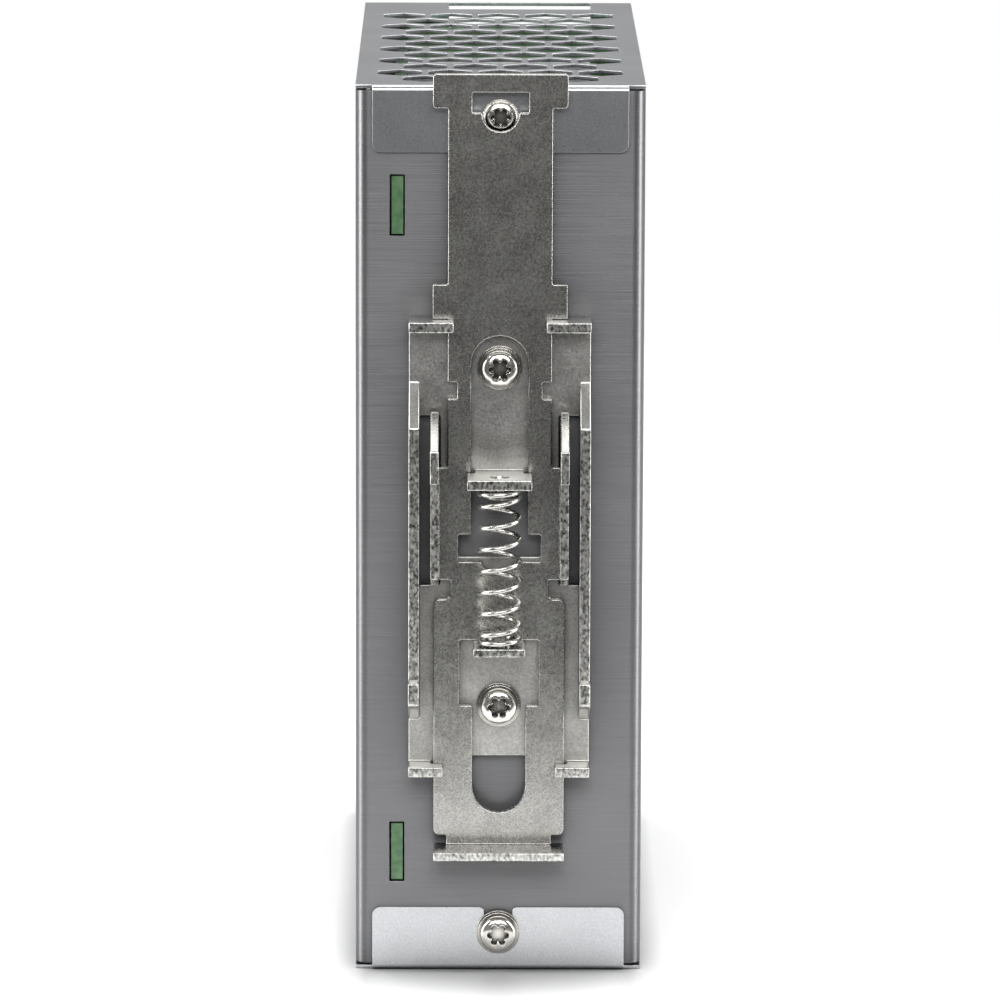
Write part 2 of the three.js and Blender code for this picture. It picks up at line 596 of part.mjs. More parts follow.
// ---------------------------------------------------------------- boards
// Main board: upright beside the right-hand wall, with two tabs through the rear panel.
function mainBoard() {
  const back = INNER_REAR - PART_GAP;
  const [low, high] = [BOARD_MARGIN, CASE_HEIGHT - BOARD_MARGIN];
  const [x0, x1] = [BOARD_X - BOARD / 2, BOARD_X + BOARD / 2];
  const panel = block(x0, x1, FRONT + 3, back, low, high);
  const tabs = BOARD_TABS_Z.map((z) => block(
    x0, x1, back - 1, REAR - 0.15, z - BOARD_TAB / 2, z + BOARD_TAB / 2));
  const holes = BOARD_SCREWS.map(({ y, z }) => rod(SCREW_CLEARANCE, x0 - 1, x1 + 1, "x", [0, y, z], 16));
  return cut(join(panel, ...tabs), ...holes);
}

add("main_board", mainBoard(), GREEN_BOARD);

const WALL_INSIDE = HALF - SHELL_SHEET;
for (const { name, y, z } of BOARD_SCREWS) {
  const x1 = WALL_INSIDE;
  const x0 = BOARD_X + BOARD / 2;
  const bore = rod(THREAD / 2 + FIT_GAP, x0 - 1, x1 + 1, "x", [0, y, z], 16);
  add(`board_spacer_${name}`, cut(rod(2.8, x0, x1, "x", [0, y, z], 6), bore), BRASS);
  const screw = [
    [0, BOARD_FACE - 1.8], [1.6, BOARD_FACE - 1.8], [2.6, BOARD_FACE - 0.8], [2.6, BOARD_FACE],
    [THREAD / 2, BOARD_FACE], [THREAD / 2, HALF - 0.1], [0, HALF - 0.1],
  ];
  add(`board_screw_${name}`, turned(screw, "x", [0, y, z], 16), SCREW);
}

// Insulating film between the main board's solder side and the side wall.
function insulationSheet() {
  const x1 = WALL_INSIDE - PART_GAP;
  const film = block(x1 - 0.4, x1, FRONT + 4, INNER_REAR - 2, BOARD_MARGIN, CASE_HEIGHT - BOARD_MARGIN);
  const holes = BOARD_SCREWS.map(({ y, z }) => rod(3.2, x1 - 2, x1 + 1, "x", [0, y, z], 16));
  return cut(film, ...holes);
}

add("insulation_sheet", insulationSheet(), CREAM);

const FRONT_BOARD_LEFT = INNER_LEFT + 2;
add("front_board", block(
  FRONT_BOARD_LEFT, BOARD_FACE - PART_GAP, FRONT_BOARD_FACE, FRONT_BOARD_FACE + BOARD,
  BOARD_MARGIN - 1, CASE_HEIGHT - 1.2), GREEN_BOARD);

// ---------------------------------------------------------------- terminals
const CLAMP_WIDTH = 4;
const CLAMP_LENGTH = 6.4;
const CLAMP_WALL = 0.8;
const CLAMP_HEIGHT = 5.4;
const SCREW_HEAD_RADIUS = 1.9;
const SCREW_SHANK_RADIUS = 1.25;
const SCREW_HEAD_LENGTH = 2;
const WELL_RADIUS = SCREW_HEAD_RADIUS + 0.3;
const TERMINAL_FRONT = FRONT + TERMINAL_SETBACK;
const HEAD_FRONT = TERMINAL_FRONT + 0.6;
const CLAMP_FRONT = HEAD_FRONT + SCREW_HEAD_LENGTH + 0.5 + CLAMP_STROKE;
const WIRE_MOUTH = 4.2;

// `up` is 1 where wires enter from above and -1 where they enter from below.
function terminalBlock({ poles, z0, up }) {
  const width = poles * POLE_PITCH + 1 - 2 * PART_GAP;
  const right = TERMINAL_RIGHT - PART_GAP;
  const z1 = z0 + TERMINAL_HEIGHT;
  const screwZ = up > 0 ? z1 - 8 : z0 + 8;
  const mouthZ = up > 0 ? z1 : z0;
  const rear = FRONT_BOARD_FACE - PART_GAP;
  const body = block(right - width, right, TERMINAL_FRONT, rear, z0, z1);
  const cuts = [];
  const centres = [];
  for (let k = 0; k < poles; k += 1) {
    const x = right - width / 2 + (k - (poles - 1) / 2) * POLE_PITCH;
    centres.push({ x, z: screwZ });
    cuts.push(rod(WELL_RADIUS, TERMINAL_FRONT - 1, HEAD_FRONT + SCREW_HEAD_LENGTH + 0.2, "y", [x, 0, screwZ], 16));
    cuts.push(rod(SCREW_SHANK_RADIUS + 0.25, TERMINAL_FRONT, CLAMP_FRONT, "y", [x, 0, screwZ], 12));
    const half = CLAMP_WIDTH / 2 + 0.25;
    const pocket = [screwZ - CLAMP_HEIGHT / 2 - 0.3, screwZ + CLAMP_HEIGHT / 2 + 0.3];
    const start = CLAMP_FRONT - CLAMP_STROKE - 0.2;
    cuts.push(block(x - half, x + half, start, CLAMP_FRONT + CLAMP_LENGTH + 0.2, ...pocket));
    const mouth = [Math.min(screwZ, mouthZ + up), Math.max(screwZ, mouthZ + up)];
    cuts.push(block(x - WIRE_MOUTH / 2, x + WIRE_MOUTH / 2, start + 0.6, start + 0.6 + WIRE_MOUTH, ...mouth));
  }
  return { body: cut(body, ...cuts), centres };
}

// Slotted screw that turns in place and draws the clamp forward.
function terminalScrew({ x, z }) {
  const shankEnd = CLAMP_FRONT + CLAMP_WALL + 0.6;
  const body = turned([
    [0, HEAD_FRONT], [SCREW_HEAD_RADIUS - 0.2, HEAD_FRONT], [SCREW_HEAD_RADIUS, HEAD_FRONT + 0.3],
    [SCREW_HEAD_RADIUS, HEAD_FRONT + SCREW_HEAD_LENGTH], [SCREW_SHANK_RADIUS, HEAD_FRONT + SCREW_HEAD_LENGTH],
    [SCREW_SHANK_RADIUS, shankEnd], [0, shankEnd],
  ], "y", [x, 0, z], 16);
  return cut(body, block(x - 3, x + 3, HEAD_FRONT - 1, HEAD_FRONT + 0.9, z - 0.35, z + 0.35));
}

// Rectangular clamp open above and below, with the screw through its front wall.
function terminalClamp({ x, z }) {
  const half = CLAMP_WIDTH / 2;
  const [y0, y1] = [CLAMP_FRONT, CLAMP_FRONT + CLAMP_LENGTH];
  const [z0, z1] = [z - CLAMP_HEIGHT / 2, z + CLAMP_HEIGHT / 2];
  const tube = cut(
    block(x - half, x + half, y0, y1, z0, z1),
    block(x - half + 0.5, x + half - 0.5, y0 + CLAMP_WALL, y1 - CLAMP_WALL, z0 - 1, z1 + 1));
  return cut(tube, rod(SCREW_SHANK_RADIUS + 0.2, y0 - 1, y0 + CLAMP_WALL + 0.5, "y", [x, 0, z], 12));
}

const BLOCKS = [
  { name: "output", poles: OUTPUT_POLES, z0: CASE_HEIGHT - TERMINAL_DROP - TERMINAL_HEIGHT, up: 1 },
  { name: "input", poles: INPUT_POLES, z0: TERMINAL_DROP, up: -1 },
];
for (const spec of BLOCKS) {
  const { body, centres } = terminalBlock(spec);
  add(`${spec.name}_terminal`, body, TERMINAL_PLASTIC);
  centres.forEach((centre, k) => {
    add(`${spec.name}_screw_${k + 1}`, terminalScrew(centre), SCREW);
    add(`${spec.name}_clamp_${k + 1}`, terminalClamp(centre), BRASS);
  });
}

// ---------------------------------------------------------------- indicator and voltage trimmer
const PANEL_INSIDE = FRONT + FRAME_SHEET;
add("light_pipe", rod(1.5, FRONT, FRONT_BOARD_FACE - 3.3, "y", [INDICATOR_X, 0, LED_Z], 20), CLEAR);
add("status_led", turned([
  [0, -3], [1, -2.8], [1.5, -2.2], [1.5, -0.8], [1.9, -0.8], [1.9, 0], [0, 0],
], "y", [INDICATOR_X, FRONT_BOARD_FACE, LED_Z], 16), CLEAR);

const TRIMMER_FRONT = PANEL_INSIDE + 2.2;
add("trimmer_body", cut(
  block(INDICATOR_X - 3.3, INDICATOR_X + 3.3, TRIMMER_FRONT, FRONT_BOARD_FACE, TRIMMER_Z - 3.3, TRIMMER_Z + 3.3),
  rod(1.9, TRIMMER_FRONT - 1, TRIMMER_FRONT + 1.8, "y", [INDICATOR_X, 0, TRIMMER_Z], 20)), BLUE);
add("trimmer_rotor", cut(
  rod(1.6, TRIMMER_FRONT - 0.6, TRIMMER_FRONT + 1.5, "y", [INDICATOR_X, 0, TRIMMER_Z], 20),
  block(INDICATOR_X - 3, INDICATOR_X + 3, TRIMMER_FRONT - 2, TRIMMER_FRONT + 0.1, TRIMMER_Z - 0.3, TRIMMER_Z + 0.3)),
CREAM);

// ---------------------------------------------------------------- components on the main board
// A box standing on the board: `reach` out from it, centred at (y, z).
function onBoard(reach, y, z, sizeY, sizeZ, lift = 0) {
  const x1 = BOARD_FACE - PART_GAP - lift;
  return block(x1 - reach, x1, y - sizeY / 2, y + sizeY / 2, z - sizeZ / 2, z + sizeZ / 2);
}

// A can of the given radius standing on the board at (y, z).
function canOnBoard(radius, length, y, z, segments = 24) {
  const x1 = BOARD_FACE - PART_GAP;
  return rod(radius, x1 - length, x1, "x", [0, y, z], segments);
}

const fromFront = (distance) => FRONT + distance;
const fromTop = (distance) => CASE_HEIGHT - distance;

// Mains side, along the bottom: fuse, X capacitor, choke, varistor, thermistor, bridge.
add("input_fuse", canOnBoard(2.6, 19, fromFront(31), 30, 16), CREAM);
add("x_capacitor", onBoard(15, fromFront(33), 15, 9, 18), YELLOW);
const CHOKE = { y: fromFront(50), z: 17, radius: 11 };
const chokeStart = BOARD_FACE - PART_GAP - 14;
add("line_choke_core", turned([
  [4.6, chokeStart], [CHOKE.radius - 1.4, chokeStart], [CHOKE.radius - 1.4, chokeStart + 10],
  [4.6, chokeStart + 10], [4.6, chokeStart],
], "x", [0, CHOKE.y, CHOKE.z], 24), FERRITE);
add("line_choke_base", onBoard(3.4, CHOKE.y, CHOKE.z, 20, 20), BLACK);
add("varistor", onBoard(11, fromFront(66), 9, 4.4, 9), BLUE);
add("inrush_thermistor", onBoard(11, fromFront(66), 21, 4.6, 9), BLACK);
add("bridge_rectifier", onBoard(18, fromFront(74), 16, 4, 20), BLACK);

// Bulk capacitor, the primary switch on its heat sink, and the transformer.
const BULK = { y: fromFront(84), z: 47, radius: 9 };
add("bulk_capacitor", canOnBoard(BULK.radius, 26, BULK.y, BULK.z), SLEEVE);
const SINK = { reach: 26, thick: 2 };
const PRIMARY = { y: fromFront(38), z: 58 };
add("primary_heat_sink", onBoard(SINK.reach, PRIMARY.y, PRIMARY.z, SINK.thick, 34), ALUMINIUM);
add("power_transistor", onBoard(
  16, PRIMARY.y + SINK.thick / 2 + PART_GAP + 2.2, PRIMARY.z, 4.4, 10.2, 5), BLACK);
const TRANSFORMER = { y: fromFront(60), z: 64, sizeY: 26, sizeZ: 28, reach: 25 };
const LEG = 4.5;
function transformerCore() {
  const { y, z, sizeY, sizeZ, reach } = TRANSFORMER;
  const lift = 2;
  const outer = onBoard(reach - lift, y, z, 11, sizeZ, lift);
  const opening = onBoard(reach - lift - 2 * LEG, y, z, 13, sizeZ - 2 * LEG, lift + LEG);
  return cut(outer, opening);
}
add("transformer_core", transformerCore(), FERRITE);
const WINDOW_GAP = 0.4;
add("transformer_winding", onBoard(
  TRANSFORMER.reach - 2 - 2 * LEG - 2 * WINDOW_GAP, TRANSFORMER.y, TRANSFORMER.z,
  TRANSFORMER.sizeY, TRANSFORMER.sizeZ - 2 * LEG - 2 * WINDOW_GAP, 2 + LEG + WINDOW_GAP), YELLOW);

// Output side, along the top: rectifier on its heat sink, inductor and capacitors.
const SECONDARY = { y: fromFront(61), low: fromTop(36), high: fromTop(1.7) };
const secondaryHeight = SECONDARY.high - SECONDARY.low;
const secondaryZ = (SECONDARY.high + SECONDARY.low) / 2;
add("secondary_heat_sink", onBoard(SINK.reach, SECONDARY.y, secondaryZ, SINK.thick, secondaryHeight), ALUMINIUM);
add("output_rectifier", onBoard(
  16, SECONDARY.y - SINK.thick / 2 - PART_GAP - 2.2, secondaryZ, 4.4, 10.2, 5), BLACK);
add("output_inductor", canOnBoard(8, 13, fromFront(36), fromTop(24)), COPPER);
[72, 84].forEach((distance, k) => {
  add(`output_capacitor_${k + 1}`, canOnBoard(5, 21, fromFront(distance), fromTop(13)), SLEEVE);
});
add("optocoupler", onBoard(3.6, fromFront(80), 75, 6.4, 4.6), BLACK);
add("control_chip", onBoard(2, fromFront(80), 84, 10, 6), BLACK);

export default unit;
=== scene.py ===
import math

import bpy
from mathutils import Euler, Matrix, Vector


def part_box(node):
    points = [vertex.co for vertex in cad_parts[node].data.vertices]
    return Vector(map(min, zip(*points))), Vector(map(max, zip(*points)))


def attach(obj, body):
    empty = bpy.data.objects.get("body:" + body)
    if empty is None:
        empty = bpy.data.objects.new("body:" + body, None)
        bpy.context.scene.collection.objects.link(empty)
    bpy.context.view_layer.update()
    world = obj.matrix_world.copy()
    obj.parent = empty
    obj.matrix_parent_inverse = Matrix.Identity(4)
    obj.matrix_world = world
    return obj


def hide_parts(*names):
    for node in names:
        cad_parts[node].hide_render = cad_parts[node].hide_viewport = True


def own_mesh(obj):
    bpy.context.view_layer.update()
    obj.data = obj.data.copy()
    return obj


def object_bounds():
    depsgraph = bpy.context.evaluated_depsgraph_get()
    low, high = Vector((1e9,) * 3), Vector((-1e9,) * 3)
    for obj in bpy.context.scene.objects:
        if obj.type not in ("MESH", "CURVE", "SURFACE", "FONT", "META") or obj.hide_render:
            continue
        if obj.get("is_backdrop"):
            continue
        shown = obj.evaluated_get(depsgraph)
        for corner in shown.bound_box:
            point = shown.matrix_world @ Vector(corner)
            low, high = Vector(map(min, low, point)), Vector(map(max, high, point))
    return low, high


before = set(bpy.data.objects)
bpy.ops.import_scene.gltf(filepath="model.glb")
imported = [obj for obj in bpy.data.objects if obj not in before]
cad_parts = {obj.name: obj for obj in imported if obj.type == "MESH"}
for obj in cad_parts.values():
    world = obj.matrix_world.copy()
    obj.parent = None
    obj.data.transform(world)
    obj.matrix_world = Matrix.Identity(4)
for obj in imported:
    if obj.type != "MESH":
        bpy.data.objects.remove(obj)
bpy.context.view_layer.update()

# ------------------------------------------------------------------ camera, floor and studio light
# The unit stands on a pale table with its rear and rail clip towards the camera, seen from a little above.
# The table ends a little way from the rear: the upper half mirrors a dim room, the lower half the table.
# Places here are in metres, turns in degrees. From the rear shell on, sizes in capitals are millimetres.
MM = 0.001
CAMERA_PLACE = (0.0045, 1.0548, 0.252)
CAMERA_DROP, CAMERA_TURN, CAMERA_ROLL = 10.38, 0.26, 0.19
camera_data = bpy.data.cameras.new("camera")
camera_data.lens = 266.1
camera_data.sensor_width = 36
camera_data.clip_end = 20
camera = bpy.data.objects.new("camera", camera_data)
bpy.context.scene.collection.objects.link(camera)
look = Euler((math.radians(90 - CAMERA_DROP), 0, math.radians(180 - CAMERA_TURN))).to_matrix().to_4x4()
roll = Matrix.Rotation(math.radians(CAMERA_ROLL), 4, "Z")
camera.matrix_world = Matrix.Translation(CAMERA_PLACE) @ look @ roll
bpy.context.scene.camera = camera

bpy.ops.mesh.primitive_plane_add(size=1, location=(0, -0.17, 0))
floor = bpy.context.object
floor.name = "floor"
floor.scale = (2.4, 0.68, 1)
bpy.ops.object.transform_apply(location=True, rotation=True, scale=True)
floor_paint = bpy.data.materials.new("floor_paint")
floor_paint.use_nodes = True
nodes, links = floor_paint.node_tree.nodes, floor_paint.node_tree.links
shader = nodes["Principled BSDF"]
shader.inputs["Roughness"].default_value = 0.42
grain = nodes.new("ShaderNodeTexNoise")
grain.inputs["Scale"].default_value = 30
tint = nodes.new("ShaderNodeValToRGB")
tint.color_ramp.elements[0].color = (0.86, 0.86, 0.86, 1)
tint.color_ramp.elements[1].color = (0.9, 0.9, 0.9, 1)
place = nodes.new("ShaderNodeTexCoord")
links.new(place.outputs["Object"], grain.inputs["Vector"])
links.new(grain.outputs["Fac"], tint.inputs["Fac"])

# painted contact shade: ambient occlusion darkens the floor's colour close under the unit's rear and front
# edges, and none beside its walls
near = nodes.new("ShaderNodeAmbientOcclusion")
near.inputs["Distance"].default_value = 0.022
near.samples = 8
deepen = nodes.new("ShaderNodeMath")
deepen.operation = "POWER"
deepen.inputs[1].default_value = 1.8
shade = nodes.new("ShaderNodeVectorMath")
shade.operation = "SCALE"
across = nodes.new("ShaderNodeSeparateXYZ")
beside = nodes.new("ShaderNodeMath")
beside.operation = "ABSOLUTE"
clear = nodes.new("ShaderNodeMapRange")
clear.inputs["From Min"].default_value = 0.0185
clear.inputs["From Max"].default_value = 0.0235
contact = nodes.new("ShaderNodeMix")
contact.inputs["B"].default_value = 1
links.new(place.outputs["Object"], across.inputs["Vector"])
links.new(across.outputs["X"], beside.inputs[0])
links.new(beside.outputs["Value"], clear.inputs["Value"])
links.new(near.outputs["AO"], deepen.inputs[0])
links.new(clear.outputs["Result"], contact.inputs["Factor"])
links.new(deepen.outputs["Value"], contact.inputs["A"])
links.new(tint.outputs["Color"], shade.inputs[0])
links.new(contact.outputs["Result"], shade.inputs["Scale"])
links.new(shade.outputs["Vector"], shader.inputs["Base Color"])
floor.data.materials.append(floor_paint)
floor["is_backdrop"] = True


def soft_box(name, place, width, height, power):
    """A rectangular soft box that faces the middle of the unit."""
    data = bpy.data.lights.new(name, "AREA")
    data.shape = "RECTANGLE"
    data.size, data.size_y = width, height
    data.energy = power
    lamp = bpy.data.objects.new(name, data)
    bpy.context.scene.collection.objects.link(lamp)
    aim = (Vector((0, 0, 0.06)) - Vector(place)).to_track_quat("-Z", "Y")
    lamp.matrix_world = Matrix.Translation(place) @ aim.to_matrix().to_4x4()


soft_box("soft_box_left", (0.75, 0.1, 0.35), 0.3, 0.9, 8)
soft_box("soft_box_right", (-0.75, 0.1, 0.35), 0.3, 0.9, 7.2)
soft_box("soft_box_top", (0, -0.25, 1.0), 1.2, 0.8, 10)
soft_box("soft_box_over_camera", (0, 0.85, 0.55), 0.9, 0.35, 7)

# The room: light grey on the front's side, dimmer on the rear's, and plain white where the camera sees it.
room = bpy.data.worlds.new("room")
bpy.context.scene.world = room
room.use_nodes = True
nodes, links = room.node_tree.nodes, room.node_tree.links
lit = nodes["Background"]
direction = nodes.new("ShaderNodeTexCoord")
split = nodes.new("ShaderNodeSeparateXYZ")
depth_ramp = nodes.new("ShaderNodeValToRGB")
depth_ramp.color_ramp.elements[0].position = 0.25
depth_ramp.color_ramp.elements[0].color = (0.38, 0.38, 0.38, 1)
depth_ramp.color_ramp.elements[1].position = 0.75
depth_ramp.color_ramp.elements[1].color = (0.135, 0.135, 0.135, 1)
half = nodes.new("ShaderNodeMapRange")
half.inputs["From Min"].default_value = -1
half.inputs["From Max"].default_value = 1
backdrop = nodes.new("ShaderNodeBackground")
backdrop.inputs["Color"].default_value = (1, 1, 1, 1)
seen = nodes.new("ShaderNodeLightPath")
either = nodes.new("ShaderNodeMixShader")
links.new(direction.outputs["Generated"], split.inputs["Vector"])
links.new(split.outputs["Y"], half.inputs["Value"])
links.new(half.outputs["Result"], depth_ramp.inputs["Fac"])
links.new(depth_ramp.outputs["Color"], lit.inputs["Color"])
links.new(seen.outputs["Is Camera Ray"], either.inputs["Fac"])
links.new(lit.outputs["Background"], either.inputs[1])
links.new(backdrop.outputs["Background"], either.inputs[2])
links.new(either.outputs["Shader"], nodes["World Output"].inputs["Surface"])
bpy.context.scene.view_settings.view_transform = "Standard"

# ------------------------------------------------------------------ rear shell
# Rear panel and both side walls, one 0.8 mm sheet of stainless steel with a horizontal brushed grain.
# It is bent to a 2 mm radius along both rear corners, and has two slots for the main board's tabs.
SHELL_SHEET, SHELL_BEND = 0.8, 2
SCREW_HOLE = 1.7
BOTTOM_SCREW, LOWER_CLIP_SCREW, UPPER_CLIP_SCREW, TOP_SCREW = 5.5, 38.3, 85.9, 120.6
BOARD_TABS = (16.9, 108.3)
TAB_SLOT_HALF_WIDTH, TAB_SLOT_HALF_HEIGHT = 1.03, 4.25


def solo(obj):
    """Leaves only this object selected and active, in object mode."""
    if bpy.context.object and bpy.context.object.mode != "OBJECT":
        bpy.ops.object.mode_set(mode="OBJECT")
    bpy.ops.object.select_all(action="DESELECT")
    obj.select_set(True)
    bpy.context.view_layer.objects.active = obj


def box_piece(name, low, high):
    """A box between two corners, as a start to shape or a cutter."""
    low, high = Vector(low), Vector(high)
    bpy.ops.object.select_all(action="DESELECT")
    bpy.ops.mesh.primitive_cube_add(size=1, location=(low + high) / 2, scale=high - low)
    obj = bpy.context.object
    obj.name = name
    bpy.ops.object.transform_apply(location=True, rotation=True, scale=True)
    return obj


def rod_piece(name, radius, start, end, sides=32):
    """A round or many-sided rod between two points on a line along X, Y or Z."""
    start, end = Vector(start), Vector(end)
    along = end - start
    turn = (math.radians(90) if abs(along.y) > 0 else 0, math.radians(90) if abs(along.x) > 0 else 0, 0)
    bpy.ops.object.select_all(action="DESELECT")
    bpy.ops.mesh.primitive_cylinder_add(
        vertices=sides, radius=radius, depth=along.length, location=(start + end) / 2, rotation=turn)
    obj = bpy.context.object
    obj.name = name
    bpy.ops.object.transform_apply(location=True, rotation=True, scale=True)
    return obj


def choose(obj, kind, test):
    """Opens obj for editing with only the faces or edges that pass the test selected."""
    solo(obj)
    bpy.ops.object.mode_set(mode="EDIT")
    bpy.ops.mesh.select_mode(type=kind)
    bpy.ops.mesh.select_all(action="DESELECT")
    bpy.ops.object.mode_set(mode="OBJECT")
    mesh = obj.data
    if kind == "FACE":
        for face in mesh.polygons:
            face.select = test(face.center, face.normal)
    if kind == "EDGE":
        for edge in mesh.edges:
            a, b = (mesh.vertices[i].co for i in edge.vertices)
            edge.select = test((a + b) / 2, b - a)
    bpy.ops.object.mode_set(mode="EDIT")


def joined(pieces):
    """Several cutters made one object."""
    solo(pieces[0])
    for piece in pieces:
        piece.select_set(True)
    bpy.ops.object.join()
    return pieces[0]


def apply_modifier(obj, kind, **settings):
    """Adds a modifier with these settings and applies it at once."""
    solo(obj)
    modifier = obj.modifiers.new(kind.lower(), kind)
    for key, value in settings.items():
        setattr(modifier, key, value)
    bpy.ops.object.modifier_apply(modifier=modifier.name)


def cut_out(obj, pieces):
    """Cuts the joined cutters out of obj and removes them."""
    tool = joined(pieces)
    apply_modifier(obj, "BOOLEAN", operation="DIFFERENCE", solver="EXACT", object=tool, use_self=True)
    bpy.data.objects.remove(tool)


def soften(obj, width, steps=2, angle=30):
    """Breaks the sharp edges of sheet or moulding and smooths the bends."""
    apply_modifier(
        obj, "BEVEL", width=width, segments=steps, limit_method="ANGLE", angle_limit=math.radians(angle),
        harden_normals=False, miter_outer="MITER_ARC", use_clamp_overlap=False)
    solo(obj)
    bpy.ops.object.shade_smooth_by_angle(angle=math.radians(50))
    apply_modifier(obj, "WEIGHTED_NORMAL", mode="FACE_AREA", weight=100, keep_sharp=True)


def fit(obj, body, slot, material, *cad_nodes):
    """Gives a finished piece its finish and its body, and hides the CAD nodes that it stands for."""
    solo(obj)
    obj.data.materials.clear()
    obj.data.materials.append(material)
    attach(obj, body)
    if cad_nodes:
        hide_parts(*cad_nodes)


def metal(name, dark, light, roughness, rough_range, grain, bump,
          anisotropic=0.0, cloud=40, share=0.35, painted_shade_power=0, reach=6):
    """Bare or plated metal. `grain` is the pattern's frequency along x, y and z, per metre, `share` the part
    of the tint that the wide clouds make, and the painted shade power how far the colour is darkened, as
    painted shade, in gaps under `reach` mm."""
    material = bpy.data.materials.new(name)
    material.use_nodes = True
    nodes, links = material.node_tree.nodes, material.node_tree.links
    shader = nodes["Principled BSDF"]
    shader.inputs["Metallic"].default_value = 1
    shader.inputs["Anisotropic"].default_value = anisotropic
    shader.inputs["Anisotropic Rotation"].default_value = 0.25
    place = nodes.new("ShaderNodeTexCoord")
    stretch = nodes.new("ShaderNodeMapping")
    stretch.inputs["Scale"].default_value = grain
    fine = nodes.new("ShaderNodeTexNoise")
    fine.inputs["Scale"].default_value = 1
    fine.inputs["Detail"].default_value = 1
    wide = nodes.new("ShaderNodeTexNoise")
    wide.inputs["Scale"].default_value = cloud
    wide.inputs["Detail"].default_value = 2
    blend = nodes.new("ShaderNodeMix")
    blend.data_type = "FLOAT"
    blend.inputs["Factor"].default_value = share
    colour = nodes.new("ShaderNodeValToRGB")
    colour.color_ramp.elements[0].position = 0.25
    colour.color_ramp.elements[0].color = (*dark, 1)
    colour.color_ramp.elements[1].position = 0.75
    colour.color_ramp.elements[1].color = (*light, 1)
    rough = nodes.new("ShaderNodeMapRange")
    rough.inputs["From Min"].default_value = 0.3
    rough.inputs["From Max"].default_value = 0.7
    rough.inputs["To Min"].default_value = roughness - rough_range
    rough.inputs["To Max"].default_value = roughness + rough_range
    relief = nodes.new("ShaderNodeBump")
    relief.inputs["Strength"].default_value = bump
    relief.inputs["Distance"].default_value = 0.00005
    links.new(place.outputs["Object"], stretch.inputs["Vector"])
    links.new(stretch.outputs["Vector"], fine.inputs["Vector"])
    links.new(place.outputs["Object"], wide.inputs["Vector"])
    links.new(fine.outputs["Fac"], blend.inputs[2])
    links.new(wide.outputs["Fac"], blend.inputs[3])
    links.new(blend.outputs[0], colour.inputs["Fac"])
    # painted shade: ambient occlusion darkens the base colour in gaps, recesses and under parts within reach
    if painted_shade_power:
        gap = nodes.new("ShaderNodeAmbientOcclusion")
        gap.inputs["Distance"].default_value = reach * MM
        gap.samples = 6
        shade_depth = nodes.new("ShaderNodeMath")
        shade_depth.operation = "POWER"
        shade_depth.inputs[1].default_value = painted_shade_power
        dim = nodes.new("ShaderNodeVectorMath")
        dim.operation = "SCALE"
        links.new(gap.outputs["AO"], shade_depth.inputs[0])
        links.new(colour.outputs["Color"], dim.inputs[0])
        links.new(shade_depth.outputs["Value"], dim.inputs["Scale"])
        links.new(dim.outputs["Vector"], shader.inputs["Base Color"])
    else:
        links.new(colour.outputs["Color"], shader.inputs["Base Color"])
    links.new(blend.outputs[0], rough.inputs["Value"])
    links.new(rough.outputs["Result"], shader.inputs["Roughness"])
    links.new(fine.outputs["Fac"], relief.inputs["Height"])
    links.new(relief.outputs["Normal"], shader.inputs["Normal"])
    return material


# painted shade in its colour darkens the rear panel in the gaps beside the clip's ears and along the clip
brushed_steel = metal(
    "brushed_steel", (0.155, 0.156, 0.162), (0.2, 0.201, 0.205), 0.4, 0.05, (70, 70, 9000), 0.45,
    anisotropic=0.75, painted_shade_power=0.5)
low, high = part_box("rear_shell")
rear = high.y
shell = box_piece("rear_shell_sheet", low, high)
choose(shell, "FACE", lambda c, n: n.y < -0.5 or abs(n.z) > 0.5)
bpy.ops.mesh.delete(type="FACE")
choose(shell, "EDGE", lambda c, d: abs(d.z) > 0.01 and c.y > rear - 1 * MM)
bpy.ops.mesh.bevel(offset=SHELL_BEND * MM, segments=10, affect="EDGES")
bpy.ops.object.mode_set(mode="OBJECT")
apply_modifier(shell, "SOLIDIFY", thickness=SHELL_SHEET * MM, offset=-1)
board_x = 14.2 * MM
cutters = []
for height in BOARD_TABS:
    tab_z = height * MM
    cutters.append(box_piece(
        "tab_slot", (board_x - TAB_SLOT_HALF_WIDTH * MM, rear - 3 * MM, tab_z - TAB_SLOT_HALF_HEIGHT * MM),
        (board_x + TAB_SLOT_HALF_WIDTH * MM, rear + 1 * MM, tab_z + TAB_SLOT_HALF_HEIGHT * MM)))
for height in (BOTTOM_SCREW, LOWER_CLIP_SCREW, UPPER_CLIP_SCREW, TOP_SCREW):
    hole_z = height * MM
    cutters.append(rod_piece(
        "hole", SCREW_HOLE * MM, (0, rear - 3 * MM, hole_z), (0, rear + 3 * MM, hole_z), 24))
for node in ("board_screw_lower", "board_screw_upper"):
    a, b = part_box(node)
    y, z = (a.y + b.y) / 2, (a.z + b.z) / 2
    cutters.append(rod_piece(
        "hole", SCREW_HOLE * MM, (high.x - 2 * MM, y, z), (high.x + 1 * MM, y, z), 24))
cut_out(shell, cutters)
soften(shell, 0.1 * MM)
fit(shell, "case", "brushed_sheet", brushed_steel, "rear_shell")

